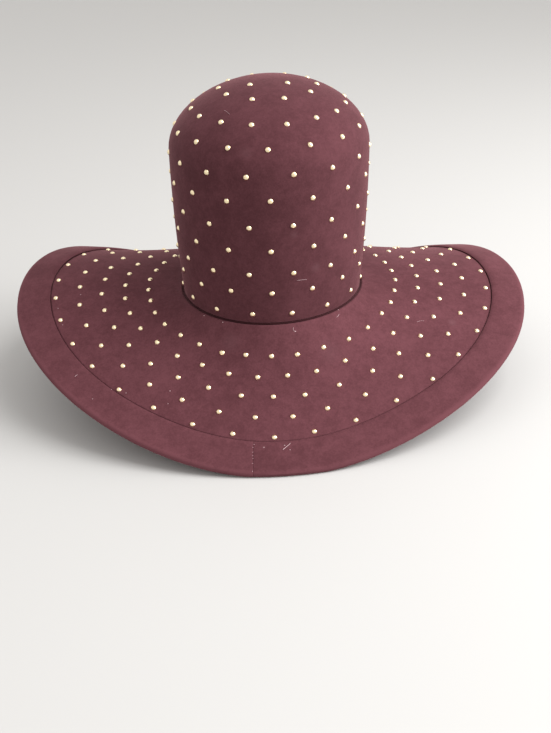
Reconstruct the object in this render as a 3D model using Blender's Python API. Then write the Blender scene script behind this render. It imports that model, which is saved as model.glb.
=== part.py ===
"""A wide-brim felt hat: a tall round-topped crown, a saddle-shaped brim and a folded edge band.

+Z is up, X runs across the hat and -Y is its back, where the band's ends meet. Lengths are in metres.
The origin is the middle of the hat's underside: the lowest parts of the brim lie at z = 0.
Run with: blender --background --python part.py
"""
import math

import bmesh
import bpy
import numpy as np
from mathutils import Matrix, Vector
from mathutils.bvhtree import BVHTree

MM = 0.001

# Felt and clearances
FELT = 2.2 * MM
BAND_FELT = 1.6 * MM
GAP = 0.3 * MM

# Crown: an oval barrel below the shoulder and a rounded dome above it
BASE_HALF_WIDTH = 84.6 * MM
WIDEST_HALF_WIDTH = 91.0 * MM
OVAL_RATIO = 1.148
SHOULDER_HEIGHT = 136.0 * MM
DOME_HEIGHT = 58.5 * MM
DOME_POWER = 1.92
CROWN_LEAN = 0.018
CROWN_HEIGHT = SHOULDER_HEIGHT + DOME_HEIGHT

# Brim: how far it reaches from the crown and how it slopes, by direction round the hat.
# Slopes are degrees below level at the crown, at one third and two thirds of SLOPE_REACH, and at its end.
SLOPE_REACH = 150.0 * MM
BRIM_TABLE = (
    # direction, width in mm, slope at crown, slope at 50 mm, slope at 100 mm, slope at 150 mm
    (0, 141, 70, 54, 36, 28),
    (45, 141, 54, 32, 28, 6),
    (90, 164, 8, 5, 6, 9),
    (135, 164, 1, 11, 15, 13),
    (180, 170, 10, 28, 49, 55),
)
RIGHT_DROOP = 3.1
REST_FLAT = 1.6 * MM
PRESSED_FELT = 1.0 * MM

# Edge band
BAND_WIDTH = 35.0 * MM
JOIN_FRACTION = -0.0175
JOIN_GAP = 0.4 * MM

# Studs: domed nailheads drawn as low ten-sided points
STUD_RADIUS = 2.6 * MM
STUD_HEIGHT = 1.7 * MM
STUD_BURY = 0.8 * MM
STUD_SIDES = 10
STUD_ROWS = (
    # height above the brim in mm, studs in the row, steps that the row is turned by
    (8.0, 16, 0.5),
    (29.0, 16, 0.0),
    (47.0, 16, 0.5),
    (69.0, 16, 0.0),
    (90.5, 16, 0.5),
    (113.5, 16, 0.0),
    (135.5, 16, 0.5),
    (157.0, 16, 0.0),
    (172.5, 16, 0.5),
    (186.5, 10, 0.5),
)
TIP_STUD_OFFSET = 17.0 * MM
TIP_STUD_BACK = 18.0 * MM
BRIM_RINGS = 5
BRIM_RING_STUDS = 32
FIRST_RING_SHARE = 0.209
LAST_RING_MARGIN = 3.8 * MM
RING_TURN = 0.15
RING_CROWDING = 0.55
BUNCH_PLACE = 1.45
BUNCH_REACH = 2.2
BUNCH_SHIFT = 0.35

# Fineness of the felt meshes
CROWN_COLUMNS = 32
BRIM_COLUMNS = 44
CROWN_COLUMN_TURN = 0.25
BRIM_COLUMN_TURN = 0.125
CROWN_LEVELS = (0.0, 19.0, 58.0, 101.0, 125.0, 146.0, 161.0, 173.0, 183.0, 190.0)
HOLLOW_LEVELS = (0.0, 70.0, 130.0, 156.0, 176.0, 187.0)
FOLD_STEPS = 4
FIRST_LEVEL_SHARE = 0.4
SLOPE_STEP = 1.0 * MM
MERGE = 0.01 * MM
SHARP_ANGLE = math.radians(35.0)


def clear_scene():
    for obj in list(bpy.data.objects):
        bpy.data.objects.remove(obj, do_unlink=True)


def collection(name):
    made = bpy.data.collections.new(name)
    bpy.context.scene.collection.children.link(made)
    return made


def material(name, color, roughness, metallic):
    made = bpy.data.materials.new(name)
    made.use_nodes = True
    shader = made.node_tree.nodes["Principled BSDF"]
    shader.inputs["Base Color"].default_value = (*color, 1.0)
    shader.inputs["Roughness"].default_value = roughness
    shader.inputs["Metallic"].default_value = metallic
    return made


def part(name, mesh_data, finish, home):
    """One solid of its own, from a bmesh whose place is already in its points."""
    bmesh.ops.triangulate(mesh_data, faces=mesh_data.faces, quad_method="SHORT_EDGE")
    bmesh.ops.recalc_face_normals(mesh_data, faces=mesh_data.faces)
    mesh = bpy.data.meshes.new(name)
    mesh_data.to_mesh(mesh)
    mesh_data.free()
    mesh.materials.append(finish)
    mesh.shade_smooth()
    mesh.set_sharp_from_angle(angle=SHARP_ANGLE)
    obj = bpy.data.objects.new(name, mesh)
    home.objects.link(obj)
    return obj


def oval_fractions(half_width, half_length, samples=720):
    """Turns and the share of the oval's length that each has covered, from the back round by +X."""
    turn = np.linspace(0.0, 2.0 * math.pi, samples + 1)
    x = half_width * np.sin(turn)
    y = -half_length * np.cos(turn)
    run = np.concatenate([[0.0], np.cumsum(np.hypot(np.diff(x), np.diff(y)))])
    return turn, run / run[-1]


OVAL_TURN, OVAL_SHARE = oval_fractions(1.0, OVAL_RATIO)


def oval_turn(fraction):
    """The turn at which an even walk round the oval has covered this fraction of it."""
    return float(np.interp(fraction % 1.0, OVAL_SHARE, OVAL_TURN))


def oval_point(half_width, fraction):
    """A point of the oval and the outward direction there."""
    turn = oval_turn(fraction)
    half_length = half_width * OVAL_RATIO
    point = Vector((half_width * math.sin(turn), -half_length * math.cos(turn), 0.0))
    outward = Vector((half_length * math.sin(turn), -half_width * math.cos(turn), 0.0))
    return point, outward.normalized()


def crown_half_width(height):
    """The crown's half width: a barrel up to the shoulder, then a rounded dome."""
    if height < SHOULDER_HEIGHT:
        below = (SHOULDER_HEIGHT - height) / SHOULDER_HEIGHT
        return WIDEST_HALF_WIDTH - (WIDEST_HALF_WIDTH - BASE_HALF_WIDTH) * below * below
    rise = min((height - SHOULDER_HEIGHT) / DOME_HEIGHT, 1.0)
    return WIDEST_HALF_WIDTH * (1.0 - rise ** DOME_POWER) ** (1.0 / DOME_POWER)


def table_series(column):
    """Cosine terms of an even curve through one column of the brim table."""
    directions = np.radians([row[0] for row in BRIM_TABLE])
    terms = np.cos(np.outer(directions, np.arange(len(BRIM_TABLE))))
    return np.linalg.solve(terms, np.array([float(row[column]) for row in BRIM_TABLE]))


WIDTH_SERIES = table_series(1)
SLOPE_SERIES = [table_series(column) for column in (2, 3, 4, 5)]
SLOPE_SPANS = len(SLOPE_SERIES) - 1


def by_direction(series, fraction):
    angle = 2.0 * math.pi * fraction
    return float(sum(term * math.cos(order * angle) for order, term in enumerate(series)))


def brim_width(fraction):
    return by_direction(WIDTH_SERIES, fraction) * MM


def brim_slope(fraction, reach):
    """Angle above level, in radians, at a distance from the crown measured over the felt."""
    place = min(max(reach / SLOPE_REACH * SLOPE_SPANS, 0.0), SLOPE_SPANS)
    lower = min(int(place), SLOPE_SPANS - 1)
    share = place - lower
    near = by_direction(SLOPE_SERIES[lower], fraction)
    far = by_direction(SLOPE_SERIES[lower + 1], fraction)
    droop = RIGHT_DROOP * math.sin(2.0 * math.pi * fraction)
    return -math.radians(near * (1.0 - share) + far * share + droop)


def brim_walk(fraction, reach):
    """Distance out, height and slope of the brim's top, found by walking over it from the crown."""
    out = 0.0
    height = 0.0
    steps = max(1, round(reach / SLOPE_STEP))
    length = reach / steps
    for step in range(steps):
        slope = brim_slope(fraction, (step + 0.5) * length)
        out += math.cos(slope) * length
        height += math.sin(slope) * length
    return out, height, brim_slope(fraction, reach)


def brim_point(fraction, reach, lift=0.0):
    """A point of the brim's top, or of a surface that lies lift above it."""
    corner, outward = oval_point(BASE_HALF_WIDTH + 2.0 * GAP, fraction)
    out, height, slope = brim_walk(fraction, reach)
    out -= math.sin(slope) * lift
    height += math.cos(slope) * lift
    return corner + outward * out + Vector((0.0, 0.0, height))


def ring_reach(ring, fraction):
    """How far out over the felt a ring of studs lies."""
    width = brim_width(fraction)
    first = FIRST_RING_SHARE * width
    last = width - BAND_WIDTH - LAST_RING_MARGIN
    return first + (last - first) * ring / (BRIM_RINGS - 1)


def brim_levels(fraction):
    """Reaches of the brim's rings of points, each between two rings of studs, then the band's own."""
    between = [ring_reach(ring + 0.5, fraction) for ring in range(BRIM_RINGS - 1)]
    return [0.0, FIRST_LEVEL_SHARE * ring_reach(0, fraction), *between, *band_levels(fraction)]


def band_levels(fraction):
    """Reaches of the points that the brim and the band share: the band's inner edge, middle and fold."""
    width = brim_width(fraction)
    return [width - BAND_WIDTH, width - 0.5 * BAND_WIDTH, width - 2.0 * (BAND_FELT + GAP)]


def brim_fraction(column):
    """Where a column of points stands round the brim, clear of most studs."""
    return (column + BRIM_COLUMN_TURN) / BRIM_COLUMNS


def loft(mesh_data, rows):
    """Faces between rows of points, each row a closed loop."""
    rings = [[mesh_data.verts.new(point) for point in row] for row in rows]
    for first, second in zip(rings, rings[1:]):
        for index in range(len(first)):
            following = (index + 1) % len(first)
            mesh_data.faces.new((first[index], first[following], second[following], second[index]))
    return rings


def crown_axis(height):
    """The middle of the crown at a height above the brim. The crown leans a little to +X."""
    return ON_TABLE + Vector((CROWN_LEAN * height, 0.0, height))


def crown_row(height, inset):
    """One oval of the crown's outer face, or of its hollow where inset is the wall."""
    half_width = crown_half_width(height)
    middle = crown_axis(height) + Vector((0.0, 0.0, GAP))
    row = []
    for column in range(CROWN_COLUMNS):
        point, outward = oval_point(half_width, (column + CROWN_COLUMN_TURN) / CROWN_COLUMNS)
        row.append(middle + point - outward * inset)
    return row


def cap(mesh_data, ring, tip):
    top = mesh_data.verts.new(tip)
    for index in range(len(ring)):
        mesh_data.faces.new((ring[index], ring[(index + 1) % len(ring)], top))


def crown_felt():
    """The crown's wall: an outer shell, a hollow inside it, and a flat rim that stands on the brim."""
    made = bmesh.new()
    hollow = [crown_row(level * MM, FELT) for level in reversed(HOLLOW_LEVELS)]
    outer = [crown_row(level * MM, 0.0) for level in CROWN_LEVELS]
    rings = loft(made, hollow + outer)
    tip = crown_axis(CROWN_HEIGHT) + Vector((0.0, 0.0, GAP))
    cap(made, rings[0], tip - Vector((0.0, 0.0, FELT)))
    cap(made, rings[-1], tip)
    return made


def brim_felt():
    """The brim's wall: a level ledge under the crown's rim, then the sloping felt, top and underside."""
    sections = []
    for column in range(BRIM_COLUMNS):
        fraction = brim_fraction(column)
        corner, outward = oval_point(BASE_HALF_WIDTH + 2.0 * GAP, fraction)
        inner = corner - outward * (FELT + 3.0 * GAP)
        levels = brim_levels(fraction)
        top = [inner, *(brim_point(fraction, level) for level in levels)]
        under = [brim_point(fraction, level, -FELT) for level in levels[1:]]
        below = inner - Vector((0.0, 0.0, FELT))
        sections.append([pressed(point, PRESSED_FELT + GAP) for point in (*top, *reversed(under), below)])
    made = bmesh.new()
    loft(made, [*sections, sections[0]])
    bmesh.ops.remove_doubles(made, verts=made.verts, dist=MERGE)
    return made


def band_section(fraction):
    """One cut through the folded strip: its outer face over the top and round the fold, and its inner face."""
    levels = band_levels(fraction)
    fold = levels[-1]
    above = GAP
    below = -FELT - GAP
    middle = 0.5 * (above + below)
    radius = 0.5 * (above - below)
    outside = [brim_point(fraction, level, above + BAND_FELT) for level in levels]
    outside += fold_arc(fraction, fold, middle, radius + BAND_FELT)
    outside += [brim_point(fraction, level, below - BAND_FELT) for level in reversed(levels)]
    inside = [brim_point(fraction, level, below) for level in levels]
    inside += [brim_point(fraction, fold + radius, middle)]
    inside += [brim_point(fraction, level, above) for level in reversed(levels)]
    return outside, inside


def placed_section(fraction):
    """The band's cut at its place on the table, its felt pressed flat where it rests."""
    outside, inside = band_section(fraction)
    return [pressed(point, 0.0) for point in outside] + [pressed(point, PRESSED_FELT) for point in inside]


def fold_arc(fraction, fold, middle, radius):
    """The outside of the fold: a half circle between the strip's upper and lower leaf."""
    arc = []
    for step in range(1, FOLD_STEPS):
        angle = math.pi * step / FOLD_STEPS
        arc.append(brim_point(fraction, fold + radius * math.sin(angle), middle + radius * math.cos(angle)))
    return arc


def band_felt():
    """The edge band: a strip folded over the brim's edge, with its two ends butted at the join."""
    sections = [placed_section(brim_fraction(column)) for column in range(BRIM_COLUMNS)]
    place = JOIN_FRACTION * BRIM_COLUMNS - BRIM_COLUMN_TURN
    before = math.floor(place)
    share = place - before
    first = sections[before % BRIM_COLUMNS]
    second = sections[(before + 1) % BRIM_COLUMNS]
    half_gap = 0.5 * JOIN_GAP / (second[0] - first[0]).length
    start = [a.lerp(b, share + half_gap) for a, b in zip(first, second)]
    end = [a.lerp(b, share - half_gap) for a, b in zip(first, second)]
    strip = [start, *(sections[(before + 1 + step) % BRIM_COLUMNS] for step in range(BRIM_COLUMNS)), end]
    made = bmesh.new()
    rings = loft(made, strip)
    made.faces.new(rings[0])
    made.faces.new(rings[-1])
    return made


def pressed(point, least):
    """A point set over the table, and no lower than the felt under it allows."""
    placed = ON_TABLE + point
    placed.z = max(placed.z, least)
    return placed


def on_table():
    """Where the middle of the crown's foot goes, so that the origin is the middle of the underside."""
    points = [point for column in range(BRIM_COLUMNS) for point in band_section(brim_fraction(column))[0]]
    x_places = [point.x for point in points]
    y_places = [point.y for point in points]
    middle_x = 0.5 * (min(x_places) + max(x_places))
    middle_y = 0.5 * (min(y_places) + max(y_places))
    lowest = min(point.z for point in points)
    return Vector((-middle_x, -middle_y, -lowest - REST_FLAT))


ON_TABLE = on_table()


def crown_stud_places():
    places = []
    for height_mm, count, turned in STUD_ROWS:
        height = height_mm * MM
        half_width = crown_half_width(height)
        for index in range(count):
            point, _ = oval_point(half_width, (index + turned) / count)
            places.append(crown_axis(height) + point)
    for side in (-1, 1):
        places.append(crown_axis(CROWN_HEIGHT) + Vector((side * TIP_STUD_OFFSET, -TIP_STUD_BACK, 0.0)))
    return places


def ring_fraction(place):
    """Where a ring's stud stands round the brim. The studs are set closer at the sides and beside the join."""
    crowding = RING_CROWDING * math.sin(4.0 * math.pi * place / BRIM_RING_STUDS)
    from_bunch = math.remainder(place - BUNCH_PLACE, BRIM_RING_STUDS)
    bunching = BUNCH_SHIFT * math.exp(-((from_bunch / BUNCH_REACH) ** 2))
    return (place + RING_TURN + crowding - bunching) / BRIM_RING_STUDS


def brim_stud_places():
    places = []
    for ring in range(BRIM_RINGS):
        turned = 0.5 * (ring % 2)
        for index in range(BRIM_RING_STUDS):
            fraction = ring_fraction(index + turned)
            places.append(ON_TABLE + brim_point(fraction, ring_reach(ring, fraction), STUD_HEIGHT))
    return places


def studs(name, felt, places, cutters):
    """Every stud of one felt piece, each seated square on the nearest felt, in one guide object."""
    surface = bmesh.new()
    surface.from_mesh(felt.data)
    tree = BVHTree.FromBMesh(surface)
    made = bmesh.new()
    spread = STUD_RADIUS * (STUD_HEIGHT + STUD_BURY) / STUD_HEIGHT
    depth = STUD_HEIGHT + STUD_BURY
    for place in places:
        seat, normal, _, _ = tree.find_nearest(place)
        turn = normal.to_track_quat("Z", "Y").to_matrix().to_4x4()
        centre = seat + normal * (0.5 * depth - STUD_BURY)
        bmesh.ops.create_cone(made, cap_ends=True, segments=STUD_SIDES, radius1=spread, radius2=0.0,
                              depth=depth, matrix=Matrix.Translation(centre) @ turn)
    surface.free()
    bmesh.ops.remove_doubles(made, verts=made.verts, dist=MERGE)
    guide = part(name, made, felt.data.materials[0], cutters)
    guide.hide_render = True
    guide.display_type = "WIRE"
    return guide


def set_studs(felt, guide):
    """The studs and their felt become one body."""
    union = felt.modifiers.new("studs", "BOOLEAN")
    union.operation = "UNION"
    union.solver = "EXACT"
    union.object = guide


def build():
    clear_scene()
    home = collection("wide_brim_felt_hat")
    cutters = collection("guides")
    crown_wine = material("crown_felt", (0.082, 0.022, 0.035), 0.95, 0.0)
    brim_wine = material("brim_felt", (0.090, 0.025, 0.039), 0.95, 0.0)
    band_wine = material("band_felt", (0.098, 0.029, 0.044), 0.95, 0.0)
    crown = part("crown", crown_felt(), crown_wine, home)
    brim = part("brim", brim_felt(), brim_wine, home)
    part("edge_band", band_felt(), band_wine, home)
    set_studs(crown, studs("crown_studs", crown, crown_stud_places(), cutters))
    set_studs(brim, studs("brim_studs", brim, brim_stud_places(), cutters))


build()
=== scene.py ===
"""The looks of a wide-brim felt hat: its nap, its folded band, its studs and its lint.

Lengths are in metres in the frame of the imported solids: +Z is up, X runs across the hat, -Y is its back.
"""
import math
import random

import bpy
import numpy as np
from mathutils import Matrix, Vector
from mathutils.bvhtree import BVHTree


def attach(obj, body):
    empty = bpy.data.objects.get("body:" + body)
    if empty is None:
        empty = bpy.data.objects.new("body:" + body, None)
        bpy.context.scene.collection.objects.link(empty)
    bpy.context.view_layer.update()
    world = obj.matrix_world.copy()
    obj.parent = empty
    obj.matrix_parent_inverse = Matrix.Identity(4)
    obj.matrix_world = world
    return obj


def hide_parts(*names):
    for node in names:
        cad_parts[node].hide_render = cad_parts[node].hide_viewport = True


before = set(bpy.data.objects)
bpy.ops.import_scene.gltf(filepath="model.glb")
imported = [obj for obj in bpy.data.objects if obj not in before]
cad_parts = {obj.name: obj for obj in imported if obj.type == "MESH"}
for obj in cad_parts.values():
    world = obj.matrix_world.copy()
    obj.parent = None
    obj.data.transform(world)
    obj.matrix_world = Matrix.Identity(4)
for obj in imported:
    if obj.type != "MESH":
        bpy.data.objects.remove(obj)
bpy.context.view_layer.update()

MM = 0.001

# Felt and clearances
FELT = 2.2 * MM
BAND_FELT = 1.6 * MM
GAP = 0.3 * MM
RIM_TOLERANCE = 0.1 * MM

# How finely shapes are sampled and meshes finished
OVAL_SAMPLES = 720
FOLD_SAMPLES = 25
DIRECTION_SAMPLES = 361
MERGE_DISTANCE = 0.01 * MM
SMOOTH_ANGLE = math.radians(40.0)
BEVEL_ANGLE = math.radians(60.0)
BEVEL_STEPS = 3

# Crown: an oval barrel and a rounded dome
BASE_HALF_WIDTH = 84.6 * MM
WIDEST_HALF_WIDTH = 91.0 * MM
OVAL_RATIO = 1.148
SHOULDER_HEIGHT = 136.0 * MM
DOME_HEIGHT = 58.5 * MM
DOME_POWER = 1.92
CROWN_LEAN = 0.018
CROWN_HEIGHT = SHOULDER_HEIGHT + DOME_HEIGHT
CROWN_SIDES = 96
BARREL_STEPS = 16
DOME_STEPS = 18
FOOT_ROUNDING = 0.9 * MM
FOOT_CLEARANCE = 0.05 * MM

# Brim: its width and its slope below level, by direction round the hat from the back
SLOPE_REACH = 150.0 * MM
BRIM_TABLE = (
    # direction, width in mm, slope at crown, slope at 50 mm, slope at 100 mm, slope at 150 mm
    (0, 141, 70, 54, 36, 28),
    (45, 141, 54, 32, 28, 6),
    (90, 164, 8, 5, 6, 9),
    (135, 164, 1, 11, 15, 13),
    (180, 170, 10, 28, 49, 55),
)
RIGHT_DROOP = 3.1
BRIM_AROUND = 320
BRIM_ACROSS = 110
WALK_STEPS = 120
SETTLE_REACH = 70.0 * MM

# The brim's rows across: a level ledge under the crown, and creases at the crown's foot and the band's edge
LEDGE = FELT + 3.0 * GAP
FOOT_ROWS_REACH = 5.0 * MM
EDGE_ROWS_REACH = 4.0 * MM
BRIM_ROW_SHARES = (0.0, 0.24, 0.66, 0.92, 1.0)
FOOT_CREASE_DEPTH = 2.0 * MM
FOOT_CREASE_PLACE = 0.6 * MM
FOOT_CREASE_REACH = 0.8 * MM
EDGE_CREASE_DEPTH = 1.3 * MM
EDGE_CREASE_PLACE = 0.3 * MM
EDGE_CREASE_REACH = 1.1 * MM
# How far the painted shadow reaches from the crown's foot, from the band's inner edge and up the crown's
# lower rim
FOOT_SHADE_START = 0.5 * MM
FOOT_SHADE_END = 1.5 * MM
EDGE_SHADE_END = 1.0 * MM
RIM_SHADE_START = 0.2 * MM
RIM_SHADE_END = 0.9 * MM

# Edge band: a strip folded over the brim's edge, its ends butted at the back
BAND_WIDTH = 35.0 * MM
BAND_AROUND = 360
BAND_ACROSS = 44
JOIN_FRACTION = -0.0175
JOIN_GAP = 0.12 * MM
JOIN_SKEW = 0.0025
BAND_LENGTH = 1400.0 * MM
LEAF_PUFF = 0.7 * MM
PUFF_REACH = 4.0 * MM
EDGE_ROUNDING = 0.3 * MM
BAND_DRAW = 1.5 * MM
EDGE_DIP = 1.0 * MM
EDGE_DIP_REACH = 2.0 * MM
FOLD_SETBACK = 2.0 * (BAND_FELT + GAP)
FOLD_MIDDLE = -0.5 * FELT
FOLD_RADIUS = 0.5 * FELT + GAP + 0.5 * BAND_FELT

# Studs: domed nailheads
STUD_RADIUS = 2.6 * MM
STUD_HEIGHT = 1.65 * MM
STUD_PLUG = 0.7 * MM
STUD_SIDES = 12
STUD_RINGS = 8
STUD_ROWS = (
    # height above the brim in mm, studs in the row, steps that the row is turned by
    (8.0, 16, 0.5),
    (29.0, 16, 0.0),
    (47.0, 16, 0.5),
    (69.0, 16, 0.0),
    (90.5, 16, 0.5),
    (113.5, 16, 0.0),
    (135.5, 16, 0.5),
    (157.0, 16, 0.0),
    (172.5, 16, 0.5),
    (186.5, 10, 0.5),
)
TIP_STUD_OFFSET = 17.0 * MM
TIP_STUD_BACK = 18.0 * MM
BRIM_RINGS = 5
BRIM_RING_STUDS = 32
FIRST_RING_SHARE = 0.209
LAST_RING_MARGIN = 3.8 * MM
RING_TURN = 0.15
RING_CROWDING = 0.55
BUNCH_PLACE = 1.45
BUNCH_REACH = 2.2
BUNCH_SHIFT = 0.35
STUD_STRAY = 0.5 * MM
STUD_TILT = math.radians(5.0)
SEED = 11

# The photograph's camera, in the frame of the solids
PHOTO_WIDTH = 551
PHOTO_HEIGHT = 733
FOCAL_PIXELS = 1056.0
CAMERA_PLACE = Vector((6.6, -963.1, 497.6)) * MM
CAMERA_YAW = math.radians(-0.32)
CAMERA_PITCH = math.radians(27.37)
CAMERA_ROLL = math.radians(-2.26)
SENSOR_WIDTH = 36.0

# Small things seen on the felt, by their place in the photograph in pixels
JOIN_STITCHES = (
    (254.1, 444.4), (252.8, 447.3), (252.7, 452.2),
    (252.7, 455.7), (252.9, 458.5), (252.6, 463.4),
)
STITCH_LENGTH = 1.3 * MM
STITCH_THICKNESS = 0.42 * MM
STITCH_LIE = Vector((1.0, 0.0, 0.35))
STITCH_SIDES = 12
STITCH_RINGS = 8
LINT_FIBRES = (
    # thickness in mm, then the points that the fibre passes through
    (0.42, (283.0, 449.9), (285.6, 447.6), (288.2, 445.6), (290.4, 443.4)),
    (0.26, (252.6, 470.8), (252.4, 474.0), (252.6, 477.0)),
    (0.30, (293.4, 327.4), (292.9, 329.4), (294.0, 331.0), (295.6, 331.6)),
    (0.30, (336.6, 317.2), (338.0, 316.2), (338.9, 314.4)),
    (0.20, (297.4, 280.4), (301.8, 279.6), (306.6, 279.5)),
    (0.20, (224.4, 110.6), (227.4, 111.8), (229.4, 114.4)),
    (0.30, (75.0, 376.8), (76.2, 375.4), (77.6, 374.8)),
    (0.20, (417.0, 322.0), (420.6, 320.6), (424.0, 321.0)),
)
LINT_SPECKS = (
    # radius in mm, then its place
    (0.55, 284.6, 445.4), (0.45, 290.0, 449.8), (0.50, 263.8, 447.4),
    (0.60, 295.4, 331.4), (0.50, 338.2, 310.0), (0.50, 222.9, 322.3),
    (0.45, 204.2, 315.7), (0.45, 80.7, 294.7), (0.45, 58.1, 308.4),
    (0.45, 62.7, 325.0), (0.40, 92.6, 399.0), (0.50, 170.0, 391.0),
    (0.40, 168.0, 403.7), (0.40, 111.4, 389.4), (0.40, 126.0, 393.0),
)
SPECK_SHAPE = (1.0, 0.7, 0.8)
SMUDGES = {
    # place, then radius in mm and strength
    "felt_crown": ((316.0, 267.5, 7.0, 0.5), (294.0, 234.6, 5.0, 0.4), (246.5, 153.0, 8.0, 0.3)),
    "felt_brim": ((452.2, 322.5, 6.0, 0.5), (230.0, 342.0, 14.0, 0.3), (330.0, 352.0, 16.0, 0.25)),
    "felt_band": ((468.8, 263.6, 5.0, 0.4), (263.8, 447.4, 2.0, 0.5)),
}

# Felt: how red each piece is, and its shades as shares of that
CROWN_REDNESS = 0.085
BRIM_REDNESS = 0.102
BAND_REDNESS = 0.100
DEEP_SHADE = (0.80, 0.253, 0.312)
BRIGHT_SHADE = (1.22, 0.412, 0.505)
DUSTY_SHADE = (1.45, 0.62, 0.72)
# Painted shadow colour for the crown's foot and the band's inner edge
CREASE_SHADOW_SHADE = (0.34, 0.09, 0.11)
SHEEN_WEIGHT = 0.22
SHEEN_ROUGHNESS = 0.3
SHEEN_TINT = (1.0, 0.46, 0.50, 1.0)
FELT_SPECULAR = 0.12
FELT_ROUGHNESS = 0.84
GRAIN_ROUGHNESS = 0.14
NOISE_ROUGHNESS = 0.55
NAP_LAYERS = (
    # noise scale, detail, share: wide clouds, thumb-sized patches, flecks and fine grain
    (14.0, 3.0, 0.30),
    (62.0, 3.0, 0.30),
    (210.0, 2.0, 0.25),
    (620.0, 2.0, 0.30),
)
NAP_DARK = 0.40
NAP_LIGHT = 0.75
FIBRE_SCALE = 2300.0
FIBRE_DETAIL = 2.0
FIBRE_SHARE = 0.6
PATCH_BUMP = 2.0 * MM
PATCH_BUMP_STRENGTH = 0.12
FIBRE_BUMP = 0.4 * MM
FIBRE_BUMP_STRENGTH = 0.4

# Painted shadow along the band's inner edge: where it is painted faint, because the edge is lit there, in
# shares round the brim, and how strongly it shows
FAINT_SHADOW_FROM = (0.05, 0.10)
FAINT_SHADOW_TO = (0.27, 0.21)
EDGE_SHADOW_STRENGTH = 0.7
EDGE_SHADOW_FADE = 0.65

# The band's tone: its nap's turn at the join, and painted light along the fold, in shares across the strip,
# which lifts the fold's shaded side like sheen
NAP_TURN = 0.05
FOLD_LIGHT = 0.16
FOLD_LIGHT_OUTER = 0.10
FOLD_LIGHT_INNER = 0.02

# Metal, thread and fluff
WEAR_SCALE = 900.0
WEAR_DETAIL = 2.0
BRASS_ROUGHNESS = 0.20
WEAR_ROUGHNESS = 0.16
THREAD_SCALE = 1500.0
THREAD_DETAIL = 2.0
THREAD_ROUGHNESS = 0.9
GOLD_WARM = (0.95, 0.76, 0.44, 1.0)
GOLD_PALE = (1.0, 0.88, 0.64, 1.0)
THREAD_PALE = (0.50, 0.30, 0.33, 1.0)
THREAD_DULL = (0.36, 0.20, 0.23, 1.0)
FLUFF_PALE = (0.62, 0.44, 0.46, 1.0)
FLUFF_DULL = (0.45, 0.30, 0.32, 1.0)

# Studio
FLOOR_SIZE = 60.0
FLOOR_ROUGHNESS = 0.75
FLOOR_COLOR = (0.52, 0.515, 0.505, 1.0)
FILL_COLOR = (1.0, 0.98, 0.96, 1.0)
FILL_STRENGTH = 0.95
LAMP_AIM = Vector((0.0, 0.0, 0.15))
LAMPS = (
    # name, place, size, watts
    ("key_light", (1.1, -0.4, 1.6), (1.2, 1.6), 34.0),
    ("side_light", (1.6, -0.3, 0.6), (0.8, 0.8), 20.0),
)


def oval_walk():
    """Turns round the crown's oval and the share of its length that each has covered."""
    turn = np.linspace(0.0, 2.0 * math.pi, OVAL_SAMPLES + 1)
    run = np.cumsum(np.hypot(np.diff(np.sin(turn)), OVAL_RATIO * np.diff(np.cos(turn))))
    return turn, np.concatenate([[0.0], run / run[-1]])


OVAL_TURN, OVAL_SHARE = oval_walk()


def crown_foot():
    """The middle of the crown's foot at the brim's level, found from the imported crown."""
    points = np.array([vertex.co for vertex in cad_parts["crown"].data.vertices])
    lowest = points[:, 2].min()
    rim = points[points[:, 2] < lowest + RIM_TOLERANCE]
    middle = 0.5 * (rim.min(axis=0) + rim.max(axis=0))
    return Vector((middle[0], middle[1], lowest - GAP))


FOOT = crown_foot()


def oval(half_width, fraction):
    """Points of the crown's oval, from the back round by +X, and the outward directions there."""
    turn = np.interp(np.mod(fraction, 1.0), OVAL_SHARE, OVAL_TURN)
    across = np.sin(turn)
    along = -np.cos(turn)
    level = np.zeros_like(turn)
    points = np.stack([half_width * across, half_width * OVAL_RATIO * along, level], axis=-1)
    outward = np.stack([OVAL_RATIO * across, along, level], axis=-1)
    return points, outward / np.linalg.norm(outward, axis=-1, keepdims=True)


def crown_half_width(height):
    """The crown's half width: a barrel up to the shoulder, then a rounded dome."""
    if height < SHOULDER_HEIGHT:
        below = (SHOULDER_HEIGHT - height) / SHOULDER_HEIGHT
        return WIDEST_HALF_WIDTH - (WIDEST_HALF_WIDTH - BASE_HALF_WIDTH) * below * below
    rise = min((height - SHOULDER_HEIGHT) / DOME_HEIGHT, 1.0)
    return WIDEST_HALF_WIDTH * (1.0 - rise ** DOME_POWER) ** (1.0 / DOME_POWER)


def crown_axis(height):
    """The middle of the crown at a height above the brim. The crown leans a little to +X."""
    return FOOT + Vector((CROWN_LEAN * height, 0.0, height))


def table_series(column):
    """Cosine terms of an even curve through one column of the brim's table."""
    directions = np.radians([row[0] for row in BRIM_TABLE])
    terms = np.cos(np.outer(directions, np.arange(len(BRIM_TABLE))))
    return np.linalg.solve(terms, np.array([float(row[column]) for row in BRIM_TABLE]))


WIDTH_SERIES = table_series(1)
SLOPE_SERIES = [table_series(column) for column in (2, 3, 4, 5)]
SLOPE_SPANS = len(SLOPE_SERIES) - 1


def by_direction(series, fraction):
    """The value of an even curve at a share of the way round the hat."""
    angle = 2.0 * math.pi * np.asarray(fraction)
    return sum(term * np.cos(order * angle) for order, term in enumerate(series))


def brim_width(fraction):
    """How wide the brim is, measured over the felt."""
    return by_direction(WIDTH_SERIES, fraction) * MM


def brim_slope(fraction, reach):
    """Angle above level, in radians, at a distance from the crown measured over the felt."""
    place = np.clip(reach / SLOPE_REACH * SLOPE_SPANS, 0.0, SLOPE_SPANS)
    slope = RIGHT_DROOP * np.sin(2.0 * math.pi * fraction)
    for order, series in enumerate(SLOPE_SERIES):
        slope = slope + by_direction(series, fraction) * np.clip(1.0 - np.abs(place - order), 0.0, 1.0)
    return -np.radians(slope)


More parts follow.
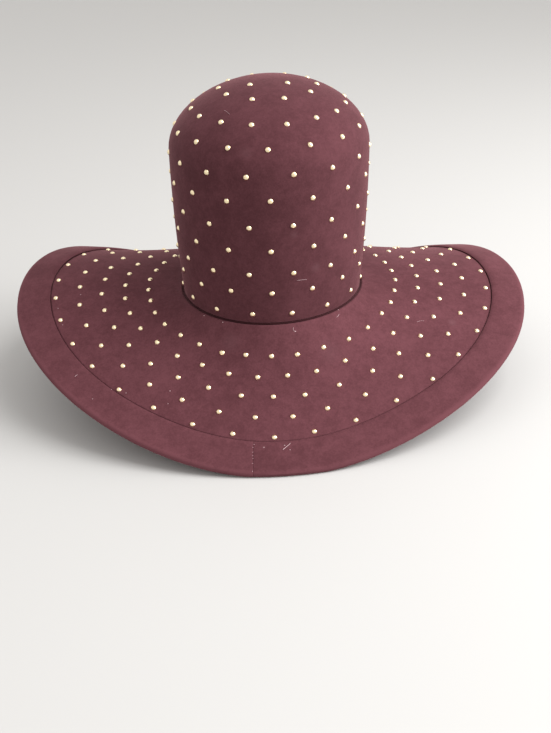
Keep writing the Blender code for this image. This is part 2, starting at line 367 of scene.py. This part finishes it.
def hung_places(fraction, reach, lift):
    """Places over the brim as it hangs free: share round it, reach over the felt, lift off its top."""
    fraction, reach, lift = np.broadcast_arrays(fraction, reach, lift)
    corner, outward = oval(BASE_HALF_WIDTH + 2.0 * GAP, fraction)
    middles = (np.arange(WALK_STEPS) + 0.5) / WALK_STEPS
    walk = brim_slope(fraction[..., None], reach[..., None] * middles)
    slope = brim_slope(fraction, reach)
    out = np.cos(walk).mean(axis=-1) * reach - np.sin(slope) * lift
    height = np.sin(walk).mean(axis=-1) * reach + np.cos(slope) * lift
    places = corner + outward * out[..., None] + np.array(FOOT)
    places[..., 2] += height
    return places


def fold_reach(fraction):
    """Where the middle of the fold's half circle lies."""
    return brim_width(fraction) - FOLD_SETBACK


def sunk_depth(fraction):
    """How far the fold would hang below the table if the brim didn't rest on it."""
    angle = np.linspace(0.0, math.pi, FOLD_SAMPLES)
    radius = FOLD_RADIUS + 0.5 * BAND_FELT
    reach = fold_reach(fraction)[..., None] + radius * np.sin(angle)
    places = hung_places(fraction[..., None], reach, FOLD_MIDDLE + radius * np.cos(angle))
    return np.clip(-places[..., 2].min(axis=-1), 0.0, None)


SUNK_FRACTIONS = np.linspace(0.0, 1.0, DIRECTION_SAMPLES)
SUNK_DEPTHS = sunk_depth(SUNK_FRACTIONS)


def brim_places(fraction, reach, lift):
    """Places over the brim as it rests: its lowest edges are bent up until they lie on the table."""
    places = hung_places(fraction, reach, lift)
    near = np.clip((reach - brim_width(fraction) + SETTLE_REACH) / SETTLE_REACH, 0.0, 1.0)
    places[..., 2] += np.interp(np.mod(fraction, 1.0), SUNK_FRACTIONS, SUNK_DEPTHS) * near * near
    return places


def ring_reach(ring, fraction):
    """How far out over the felt a ring of studs lies."""
    width = brim_width(fraction)
    first = FIRST_RING_SHARE * width
    last = width - BAND_WIDTH - LAST_RING_MARGIN
    return first + (last - first) * ring / (BRIM_RINGS - 1)


def pick(*objects):
    """Nothing is selected but these, and the first is active."""
    bpy.ops.object.select_all(action="DESELECT")
    for obj in objects:
        obj.select_set(True)
    bpy.context.view_layer.objects.active = objects[0]


def named(name):
    """The newest primitive, under its own name."""
    made = bpy.context.object
    made.name = name
    made.data.name = name
    return made


def shaped(piece, kind, **settings):
    """Adds a modifier and applies it."""
    pick(piece)
    modifier = piece.modifiers.new(kind.lower(), kind)
    for name, value in settings.items():
        setattr(modifier, name, value)
    bpy.ops.object.modifier_apply(modifier=modifier.name)


def settled(piece):
    """A finished mesh's place goes into its points, and its faces are shaded smooth."""
    pick(piece)
    bpy.ops.object.transform_apply(location=True, rotation=True, scale=True)
    bpy.ops.object.shade_smooth_by_angle(angle=SMOOTH_ANGLE)


def laid_sheet(name, around, across, lay):
    """A grid whose rows run round the hat, with each point laid where lay puts its two shares."""
    bpy.ops.object.select_all(action="DESELECT")
    bpy.ops.mesh.primitive_grid_add(x_subdivisions=around, y_subdivisions=across, size=1.0)
    sheet = named(name)
    flat = np.zeros(len(sheet.data.vertices) * 3)
    sheet.data.vertices.foreach_get("co", flat)
    shares = flat.reshape(-1, 3) + 0.5
    sheet.data.vertices.foreach_set("co", lay(shares[:, 0], shares[:, 1]).ravel())
    sheet.data.update()
    return sheet


def bevelled(piece, width):
    """Rounds the sharp corners of a piece's wall."""
    shaped(piece, "BEVEL", width=width, segments=BEVEL_STEPS, limit_method="ANGLE", angle_limit=BEVEL_ANGLE)


def merged(piece):
    """Points that lie on each other become one, so that a seam or a tip is closed."""
    pick(piece)
    bpy.ops.object.mode_set(mode="EDIT")
    bpy.ops.mesh.select_all(action="SELECT")
    bpy.ops.mesh.remove_doubles(threshold=MERGE_DISTANCE)
    bpy.ops.object.mode_set(mode="OBJECT")


def crown_levels():
    """Heights of the crown's rings, closer together where the dome turns over."""
    barrel = [SHOULDER_HEIGHT * step / BARREL_STEPS for step in range(BARREL_STEPS)]
    turns = [0.5 * math.pi * step / DOME_STEPS for step in range(DOME_STEPS)]
    return barrel + [SHOULDER_HEIGHT + DOME_HEIGHT * math.sin(turn) for turn in turns]


def felt_crown():
    """The crown: an oval ring drawn up ring by ring, closed at the tip, then given its wall."""
    levels = crown_levels()
    base = crown_axis(levels[0]) + Vector((0.0, 0.0, FOOT_CLEARANCE))
    bpy.ops.object.select_all(action="DESELECT")
    bpy.ops.mesh.primitive_circle_add(vertices=CROWN_SIDES, radius=1.0, location=base)
    crown = named("felt_crown")
    crown.scale = (crown_half_width(levels[0]), crown_half_width(levels[0]) * OVAL_RATIO, 1.0)
    bpy.ops.object.transform_apply(location=True, rotation=True, scale=True)
    bpy.ops.object.mode_set(mode="EDIT")
    bpy.ops.mesh.select_all(action="SELECT")
    for lower, upper in zip(levels, levels[1:]):
        rise = crown_axis(upper) - crown_axis(lower)
        bpy.ops.mesh.extrude_region_move(TRANSFORM_OT_translate={"value": rise})
        share = crown_half_width(upper) / crown_half_width(lower)
        middle = crown_axis(upper)
        bpy.ops.transform.resize(value=(share, share, 1.0), center_override=middle)
    rise = crown_axis(CROWN_HEIGHT) - crown_axis(levels[-1])
    bpy.ops.mesh.extrude_region_move(TRANSFORM_OT_translate={"value": rise})
    bpy.ops.mesh.merge(type="CENTER")
    bpy.ops.mesh.select_all(action="SELECT")
    bpy.ops.mesh.normals_make_consistent(inside=False)
    bpy.ops.object.mode_set(mode="OBJECT")
    shaped(crown, "SOLIDIFY", thickness=FELT, offset=-1.0, use_even_offset=True)
    bevelled(crown, FOOT_ROUNDING)
    settled(crown)
    return crown


def crease_depth(share_out):
    """How deep the brim's top is pressed in along the crown's foot and along the band's inner edge."""
    from_foot = np.interp(share_out, BRIM_ROW_SHARES[0:2], (-LEDGE, FOOT_ROWS_REACH))
    from_edge = np.interp(share_out, BRIM_ROW_SHARES[2:4], (-EDGE_ROWS_REACH, EDGE_ROWS_REACH))
    foot = np.exp(-((from_foot - FOOT_CREASE_PLACE) / FOOT_CREASE_REACH) ** 2)
    edge = np.exp(-((from_edge - EDGE_CREASE_PLACE) / EDGE_CREASE_REACH) ** 2)
    return FOOT_CREASE_DEPTH * foot + EDGE_CREASE_DEPTH * edge


def felt_brim():
    """The brim: a level ledge under the crown's rim, then the sloping felt as far as the band's fold."""

    def lay(share_round, share_out):
        fraction = -share_round
        band_edge = brim_width(fraction) - BAND_WIDTH + BAND_DRAW
        row = np.interp(share_out, BRIM_ROW_SHARES, range(len(BRIM_ROW_SHARES)))
        marks = (-LEDGE, FOOT_ROWS_REACH, band_edge - EDGE_ROWS_REACH, band_edge + EDGE_ROWS_REACH,
                 fold_reach(fraction))
        nearness = [np.clip(1.0 - np.abs(row - order), 0.0, 1.0) for order in range(len(marks))]
        reach = sum(mark * near for mark, near in zip(marks, nearness))
        places = brim_places(fraction, np.clip(reach, 0.0, None), 0.0)
        _, outward = oval(BASE_HALF_WIDTH, fraction)
        return places + outward * np.clip(reach, None, 0.0)[:, None]

    brim = laid_sheet("felt_brim", BRIM_AROUND, BRIM_ACROSS, lay)
    merged(brim)
    sinks = {}
    for loop, corner in zip(brim.data.loops, brim.data.uv_layers.active.data):
        depth = float(crease_depth(corner.uv.y))
        sinks[loop.vertex_index] = brim.data.vertices[loop.vertex_index].normal * depth
    shaped(brim, "SOLIDIFY", thickness=FELT, offset=-1.0, use_even_offset=True)
    for index, sink in sinks.items():
        brim.data.vertices[index].co -= sink
    settled(brim)
    return brim


def felt_band():
    """The edge band: a strip that lies on the brim, turns round its edge and lies under it."""
    leaf = BAND_WIDTH - BAND_DRAW - FOLD_SETBACK
    half_turn = math.pi * FOLD_RADIUS
    strip = 2.0 * leaf + half_turn
    half_gap = 0.5 * JOIN_GAP / BAND_LENGTH

    def lay(share_round, share_over):
        skew = JOIN_SKEW * (0.5 - np.clip(2.0 * share_over, 0.0, 1.0))
        fraction = JOIN_FRACTION - skew - half_gap - share_round * (1.0 - 2.0 * half_gap)
        run = share_over * strip
        angle = np.clip((run - leaf) / FOLD_RADIUS, 0.0, math.pi)
        flat_run = np.where(run < leaf, run, np.clip(strip - run, None, leaf))
        reach = fold_reach(fraction) - leaf + flat_run + FOLD_RADIUS * np.sin(angle)
        puff = LEAF_PUFF * (1.0 - np.exp(-flat_run / PUFF_REACH)) * np.cos(0.5 * math.pi * flat_run / leaf)
        dip = np.where(run < leaf, EDGE_DIP * np.exp(-flat_run / EDGE_DIP_REACH), 0.0)
        lift = FOLD_MIDDLE + (FOLD_RADIUS + puff) * np.cos(angle) - dip
        return brim_places(fraction, reach, lift)

    band = laid_sheet("felt_band", BAND_AROUND, BAND_ACROSS, lay)
    shaped(band, "SOLIDIFY", thickness=BAND_FELT, offset=0.0, use_even_offset=True)
    bevelled(band, EDGE_ROUNDING)
    settled(band)
    return band


def camera_axes():
    """The camera's right, upward and backward directions."""
    level = Vector((math.sin(CAMERA_YAW), math.cos(CAMERA_YAW), 0.0))
    forward = level * math.cos(CAMERA_PITCH) - Vector((0.0, 0.0, math.sin(CAMERA_PITCH)))
    right = forward.cross(Vector((0.0, 0.0, 1.0))).normalized()
    above = right.cross(forward)
    rolled_right = right * math.cos(CAMERA_ROLL) + above * math.sin(CAMERA_ROLL)
    rolled_above = above * math.cos(CAMERA_ROLL) - right * math.sin(CAMERA_ROLL)
    return rolled_right, rolled_above, -forward


def seen_on(surface, across, down):
    """Where the line of sight through a place in the photograph meets the felt, and the way out there."""
    right, above, back = camera_axes()
    sideways = (across - 0.5 * PHOTO_WIDTH) / FOCAL_PIXELS
    upward = (0.5 * PHOTO_HEIGHT - down) / FOCAL_PIXELS
    sight = (right * sideways + above * upward - back).normalized()
    place, outward, _, _ = surface.ray_cast(CAMERA_PLACE, sight)
    return place, outward


def surface_of(*pieces):
    """A tree for finding where a line or a point meets one or more pieces."""
    corners = []
    faces = []
    for piece in pieces:
        first = len(corners)
        corners += [vertex.co.copy() for vertex in piece.data.vertices]
        faces += [[first + corner for corner in face.vertices] for face in piece.data.polygons]
    return BVHTree.FromPolygons(corners, faces)


def joined(name, pieces):
    """Small pieces become one piece under its own name."""
    pick(*pieces)
    bpy.ops.object.join()
    whole = named(name)
    settled(whole)
    return whole


def join_stitches(felt):
    """The pale overcast stitches that close the band's join."""
    stitches = []
    size = Matrix.Diagonal((STITCH_LENGTH, STITCH_THICKNESS, STITCH_THICKNESS, 1.0))
    for across, down in JOIN_STITCHES:
        place, outward = seen_on(felt, across, down)
        along = (STITCH_LIE - outward * outward.dot(STITCH_LIE)).normalized()
        side = outward.cross(along)
        bpy.ops.object.select_all(action="DESELECT")
        bpy.ops.mesh.primitive_uv_sphere_add(segments=STITCH_SIDES, ring_count=STITCH_RINGS, radius=0.5)
        stitch = named("stitch")
        turn = Matrix((along, side, outward)).transposed().to_4x4()
        stitch.matrix_world = Matrix.Translation(place) @ turn @ size
        stitches.append(stitch)
    return joined("join_stitches", stitches)


def lint_fibre(felt, thickness, places):
    """One loose fibre that lies on the felt, as a thin tube through its places."""
    bpy.ops.object.select_all(action="DESELECT")
    bpy.ops.curve.primitive_bezier_curve_add()
    fibre = named("fibre")
    line = fibre.data
    line.splines.clear()
    spline = line.splines.new("NURBS")
    spline.points.add(len(places) - 1)
    for point, (across, down) in zip(spline.points, places):
        seat, outward = seen_on(felt, across, down)
        point.co = (*(seat + outward * thickness), 1.0)
    spline.order_u = 3
    spline.use_endpoint_u = True
    line.bevel_depth = 0.5 * thickness
    line.bevel_resolution = 1
    line.use_fill_caps = True
    pick(fibre)
    bpy.ops.object.convert(target="MESH")
    return fibre


def lint(felt):
    """Loose fibres and specks of fluff on the felt, as one piece."""
    bits = [lint_fibre(felt, thickness * MM, places) for thickness, *places in LINT_FIBRES]
    for radius, across, down in LINT_SPECKS:
        seat, outward = seen_on(felt, across, down)
        bpy.ops.object.select_all(action="DESELECT")
        bpy.ops.mesh.primitive_ico_sphere_add(subdivisions=2, radius=radius * MM, location=seat)
        speck = named("speck")
        speck.scale = SPECK_SHAPE
        bits.append(speck)
    return joined("lint", bits)


def single_stud():
    """One nailhead: the cap of a ball, closed below by a short plug that sinks into the felt."""
    ball = 0.5 * (STUD_RADIUS * STUD_RADIUS / STUD_HEIGHT + STUD_HEIGHT)
    sunk = (0.0, 0.0, STUD_HEIGHT - ball)
    bpy.ops.object.select_all(action="DESELECT")
    bpy.ops.mesh.primitive_uv_sphere_add(
        segments=STUD_SIDES, ring_count=STUD_RINGS, radius=ball, location=sunk
    )
    stud = named("stud")
    bpy.ops.object.transform_apply(location=True, rotation=True, scale=True)
    bpy.ops.object.mode_set(mode="EDIT")
    bpy.ops.mesh.select_all(action="SELECT")
    bpy.ops.mesh.bisect(
        plane_co=(0.0, 0.0, 0.0), plane_no=(0.0, 0.0, 1.0), clear_inner=True, use_fill=True
    )
    bpy.ops.mesh.extrude_region_move(TRANSFORM_OT_translate={"value": (0.0, 0.0, -STUD_PLUG)})
    bpy.ops.mesh.select_all(action="SELECT")
    bpy.ops.mesh.normals_make_consistent(inside=False)
    bpy.ops.object.mode_set(mode="OBJECT")
    return stud


def set_studs(name, felt, places):
    """Every stud of one felt piece, each seated square on the felt at its place, as one piece."""
    draw = random.Random(SEED)
    surface = surface_of(felt)
    master = single_stud()
    copies = []
    for place in places:
        stray = Vector((draw.gauss(0.0, STUD_STRAY) for _ in range(3)))
        seat, normal, _, _ = surface.find_nearest(place + stray)
        tilt = Vector((draw.gauss(0.0, STUD_TILT) for _ in range(3)))
        turn = (normal + tilt).to_track_quat("Z", "Y").to_matrix().to_4x4()
        spin = Matrix.Rotation(draw.uniform(0.0, 2.0 * math.pi), 4, "Z")
        copy = bpy.data.objects.new(name, master.data.copy())
        bpy.context.scene.collection.objects.link(copy)
        copy.matrix_world = Matrix.Translation(seat) @ turn @ spin
        copies.append(copy)
    bpy.data.objects.remove(master, do_unlink=True)
    return joined(name, copies)


def crown_stud_places():
    """Where the crown's studs stand: its rows, and two at the tip."""
    places = []
    for height_mm, count, turned in STUD_ROWS:
        height = height_mm * MM
        points, _ = oval(crown_half_width(height), (np.arange(count) + turned) / count)
        places += [crown_axis(height) + Vector(point) for point in points]
    for side in (-1.0, 1.0):
        beside = Vector((side * TIP_STUD_OFFSET, -TIP_STUD_BACK, 0.0))
        places.append(crown_axis(CROWN_HEIGHT) + beside)
    return places


def ring_fractions(ring):
    """Where a ring's studs stand round the brim. They are set closer at the sides and beside the join."""
    place = np.arange(BRIM_RING_STUDS) + 0.5 * (ring % 2)
    crowding = RING_CROWDING * np.sin(4.0 * math.pi * place / BRIM_RING_STUDS)
    half_way = 0.5 * BRIM_RING_STUDS
    from_bunch = np.mod(place - BUNCH_PLACE + half_way, BRIM_RING_STUDS) - half_way
    bunching = BUNCH_SHIFT * np.exp(-((from_bunch / BUNCH_REACH) ** 2))
    return (place + RING_TURN + crowding - bunching) / BRIM_RING_STUDS


def brim_stud_places():
    """Where the brim's studs stand, ring by ring."""
    places = []
    for ring in range(BRIM_RINGS):
        fraction = ring_fractions(ring)
        points = brim_places(fraction, ring_reach(ring, fraction), STUD_HEIGHT)
        places += [Vector(point) for point in points]
    return places


class Value:
    """A socket of a shader node. Sums and products of it add Math nodes."""

    def __init__(self, finish, socket):
        self.finish = finish
        self.socket = socket

    def maths(self, operation, first, second):
        """A Math node on two values."""
        return self.finish.node("Math", {"operation": operation}, {0: first, 1: second})

    def __add__(self, other):
        return self.maths("ADD", self, other)

    def __sub__(self, other):
        return self.maths("SUBTRACT", self, other)

    def __mul__(self, other):
        return self.maths("MULTIPLY", self, other)

    def __rsub__(self, other):
        return self.maths("SUBTRACT", other, self)

    __radd__ = __add__
    __rmul__ = __mul__


class Finish:
    """A material whose nodes are added one by one."""

    def __init__(self, name):
        self.material = bpy.data.materials.new(name)
        self.material.use_nodes = True
        self.tree = self.material.node_tree
        self.shader = self.tree.nodes["Principled BSDF"]

    def feed(self, socket, value):
        """Links a value to a socket, or sets the socket to a number or colour."""
        if isinstance(value, Value):
            self.tree.links.new(value.socket, socket)
        else:
            socket.default_value = value

    def node(self, kind, settings, sockets, output=0):
        """A new node of any type: its settings first, then what goes into its sockets."""
        made = self.tree.nodes.new("ShaderNode" + kind)
        for name, value in settings.items():
            setattr(made, name, value)
        for name, value in sockets.items():
            self.feed(made.inputs[name], value)
        return Value(self, made.outputs[output])

    def to_shader(self, socket, value):
        """Feeds one of the finish's own sockets."""
        self.feed(self.shader.inputs[socket], value)

    def places(self):
        """Where each point lies, in the frame of the solids."""
        return self.node("TexCoord", {}, {}, "Object")

    def noise(self, scale, detail):
        """Noise of a given fineness, 0 to 1."""
        sockets = {"Vector": self.places(), "Scale": scale, "Detail": detail, "Roughness": NOISE_ROUGHNESS}
        return self.node("TexNoise", {}, sockets, "Fac")

    def spread(self, value, low, high):
        """0 at low, 1 at high, with a soft step between."""
        sockets = {"Value": value, "From Min": low, "From Max": high}
        return self.node("MapRange", {"interpolation_type": "SMOOTHSTEP"}, sockets)

    def blend(self, share, first, second):
        """A mix of two colours. The node's sockets 6 and 7 are its colour inputs."""
        sockets = {"Factor": share, 6: first, 7: second}
        return self.node("Mix", {"data_type": "RGBA"}, sockets, 2)

    def bump(self, height, strength, distance, under=None):
        """A bumpy normal, over another one if it is given."""
        sockets = {"Height": height, "Strength": strength, "Distance": distance}
        if under:
            sockets["Normal"] = under
        return self.node("Bump", {}, sockets)


def nap(felt):
    """How the nap lies, from dark to light, and two of its layers: the patches and the grain."""
    layers = [felt.noise(scale, detail) for scale, detail, _ in NAP_LAYERS]
    lie = sum(share * layer for layer, (_, _, share) in zip(layers, NAP_LAYERS))
    _, patches, _, grain = layers
    return lie, patches, grain


def sheet_shares(felt):
    """The shares round the hat and across the felt at which a point of a laid sheet lies."""
    sheet = {"Vector": felt.node("TexCoord", {}, {}, "UV")}
    return felt.node("SeparateXYZ", {}, sheet, "X"), felt.node("SeparateXYZ", {}, sheet, "Y")


def brim_shadow_mask(felt):
    """Where painted shadow darkens the brim: along the crown's foot, and along the band's inner edge,
    fainter where that edge is lit.
    """
    around, across = sheet_shares(felt)
    foot = np.interp((FOOT_SHADE_END, FOOT_SHADE_START), (-LEDGE, FOOT_ROWS_REACH), BRIM_ROW_SHARES[0:2])
    edge = np.interp((-EDGE_SHADE_END, 0.0), (-EDGE_ROWS_REACH, EDGE_ROWS_REACH), BRIM_ROW_SHARES[2:4])
    faint = felt.spread(around, *FAINT_SHADOW_FROM) * felt.spread(around, *FAINT_SHADOW_TO)
    edge_shadow = felt.spread(across, *map(float, edge)) * (EDGE_SHADOW_STRENGTH - EDGE_SHADOW_FADE * faint)
    return felt.spread(across, *map(float, foot)) + edge_shadow


def crown_rim_shadow_mask(felt):
    """Painted shadow along the crown's lower rim, darkest at its foot."""
    height = felt.node("SeparateXYZ", {}, {"Vector": felt.places()}, "Z")
    return felt.spread(height, FOOT.z + RIM_SHADE_END, FOOT.z + RIM_SHADE_START)


def strip_tone_and_fold_light(felt):
    """The band's own tone: its nap turns at the join, and painted light along the fold lifts the fold's
    shaded side.
    """
    along, over = sheet_shares(felt)
    from_fold = felt.node("Math", {"operation": "ABSOLUTE"}, {0: over - 0.5})
    light = felt.spread(from_fold, FOLD_LIGHT_OUTER, FOLD_LIGHT_INNER)
    return NAP_TURN * (0.5 - along) + FOLD_LIGHT * light


def shade(shares, redness):
    """One colour of a felt piece."""
    return (*(share * redness for share in shares), 1.0)


def felt_finish(name, redness, surface, smudges, tone_and_light=None, painted_shadow=None):
    """Burgundy wool felt with a short nap, and rubbed light here and there."""
    felt = Finish(name)
    felt.to_shader("Sheen Weight", SHEEN_WEIGHT)
    felt.to_shader("Sheen Roughness", SHEEN_ROUGHNESS)
    felt.to_shader("Sheen Tint", SHEEN_TINT)
    felt.to_shader("Specular IOR Level", FELT_SPECULAR)
    lie, patches, grain = nap(felt)
    # The band adds its nap's turn at the join and its painted fold light to the lie of the nap.
    if tone_and_light:
        lie = lie + tone_and_light(felt)
    deep = shade(DEEP_SHADE, redness)
    bright = shade(BRIGHT_SHADE, redness)
    dusty = shade(DUSTY_SHADE, redness)
    color = felt.blend(felt.spread(lie, NAP_DARK, NAP_LIGHT), deep, bright)
    for across, down, radius, strength in smudges:
        place, _ = seen_on(surface, across, down)
        ends = {0: felt.places(), 1: place}
        apart = felt.node("VectorMath", {"operation": "DISTANCE"}, ends, "Value")
        color = felt.blend(strength * felt.spread(apart, radius * MM, 0.0), color, dusty)
    # Painted shadow: a darker colour blended in along the crown's foot and the band's inner edge.
    if painted_shadow:
        color = felt.blend(painted_shadow(felt), color, shade(CREASE_SHADOW_SHADE, redness))
    felt.to_shader("Base Color", color)
    felt.to_shader("Roughness", FELT_ROUGHNESS + GRAIN_ROUGHNESS * grain)
    fibres = felt.noise(FIBRE_SCALE, FIBRE_DETAIL)
    height = FIBRE_SHARE * fibres + (1.0 - FIBRE_SHARE) * grain
    soft = felt.bump(patches, PATCH_BUMP_STRENGTH, PATCH_BUMP)
    felt.to_shader("Normal", felt.bump(height, FIBRE_BUMP_STRENGTH, FIBRE_BUMP, soft))
    return felt.material


def thread_finish(name, pale, dull):
    """Pale thread or fluff, a little uneven."""
    thread = Finish(name)
    thread.to_shader("Roughness", THREAD_ROUGHNESS)
    unevenness = thread.noise(THREAD_SCALE, THREAD_DETAIL)
    thread.to_shader("Base Color", thread.blend(unevenness, pale, dull))
    return thread.material


def stud_finish():
    """Bright gold-coloured brass, a little uneven from tumbling."""
    brass = Finish("stud_brass")
    brass.to_shader("Metallic", 1.0)
    wear = brass.noise(WEAR_SCALE, WEAR_DETAIL)
    brass.to_shader("Base Color", brass.blend(wear, GOLD_WARM, GOLD_PALE))
    brass.to_shader("Roughness", BRASS_ROUGHNESS + WEAR_ROUGHNESS * wear)
    return brass.material


def floor_finish():
    """A matt pale floor."""
    floor = Finish("pale_floor")
    floor.to_shader("Roughness", FLOOR_ROUGHNESS)
    floor.to_shader("Base Color", FLOOR_COLOR)
    return floor.material


def dressed(piece, finish, slot, *nodes):
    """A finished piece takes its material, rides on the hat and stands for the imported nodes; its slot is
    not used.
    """
    piece.data.materials.clear()
    piece.data.materials.append(finish)
    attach(piece, "root")
    if nodes:
        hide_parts(*nodes)


def photo_camera():
    """The photograph's point of view on the hat."""
    data = bpy.data.cameras.new("photo_view")
    data.sensor_width = SENSOR_WIDTH
    data.lens = SENSOR_WIDTH * FOCAL_PIXELS / PHOTO_HEIGHT
    camera = bpy.data.objects.new("photo_view", data)
    bpy.context.scene.collection.objects.link(camera)
    turn = Matrix(camera_axes()).transposed().to_4x4()
    camera.matrix_world = Matrix.Translation(CAMERA_PLACE) @ turn
    bpy.context.scene.camera = camera


def soft_box(name, place, size, watts):
    """A large soft lamp that faces the hat."""
    data = bpy.data.lights.new(name, "AREA")
    data.shape = "RECTANGLE"
    data.size, data.size_y = size
    data.energy = watts
    lamp = bpy.data.objects.new(name, data)
    bpy.context.scene.collection.objects.link(lamp)
    lamp.location = place
    lamp.rotation_euler = (LAMP_AIM - Vector(place)).to_track_quat("-Z", "Y").to_euler()


def studio():
    """A pale floor, an even fill from all round and two soft lamps on the right."""
    bpy.ops.object.select_all(action="DESELECT")
    bpy.ops.mesh.primitive_plane_add(size=FLOOR_SIZE)
    floor = named("floor")
    floor.data.materials.append(floor_finish())
    world = bpy.data.worlds.new("even_fill")
    world.use_nodes = True
    background = world.node_tree.nodes["Background"]
    background.inputs["Color"].default_value = FILL_COLOR
    background.inputs["Strength"].default_value = FILL_STRENGTH
    bpy.context.scene.world = world
    for lamp in LAMPS:
        soft_box(*lamp)
    bpy.context.scene.view_settings.view_transform = "Standard"


def build_hat():
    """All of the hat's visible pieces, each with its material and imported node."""
    crown = felt_crown()
    brim = felt_brim()
    band = felt_band()
    crown_studs = set_studs("crown_nailheads", crown, crown_stud_places())
    brim_studs = set_studs("brim_nailheads", brim, brim_stud_places())
    felt = surface_of(crown, brim, band)
    stitches = join_stitches(felt)
    fluff = lint(felt)
    crown_nap = felt_finish("crown_nap", CROWN_REDNESS, felt, SMUDGES["felt_crown"], painted_shadow=crown_rim_shadow_mask)
    brim_nap = felt_finish("brim_nap", BRIM_REDNESS, felt, SMUDGES["felt_brim"], painted_shadow=brim_shadow_mask)
    band_nap = felt_finish("band_nap", BAND_REDNESS, felt, SMUDGES["felt_band"], tone_and_light=strip_tone_and_fold_light)
    dressed(crown, crown_nap, "crown_felt", "crown")
    dressed(brim, brim_nap, "brim_felt", "brim")
    dressed(band, band_nap, "band_felt", "edge_band")
    brass = stud_finish()
    dressed(crown_studs, brass, "stud_metal")
    dressed(brim_studs, brass, "stud_metal")
    dressed(stitches, thread_finish("join_thread", THREAD_PALE, THREAD_DULL), "band_felt")
    dressed(fluff, thread_finish("fluff", FLUFF_PALE, FLUFF_DULL), "brim_felt")


photo_camera()
studio()
build_hat()
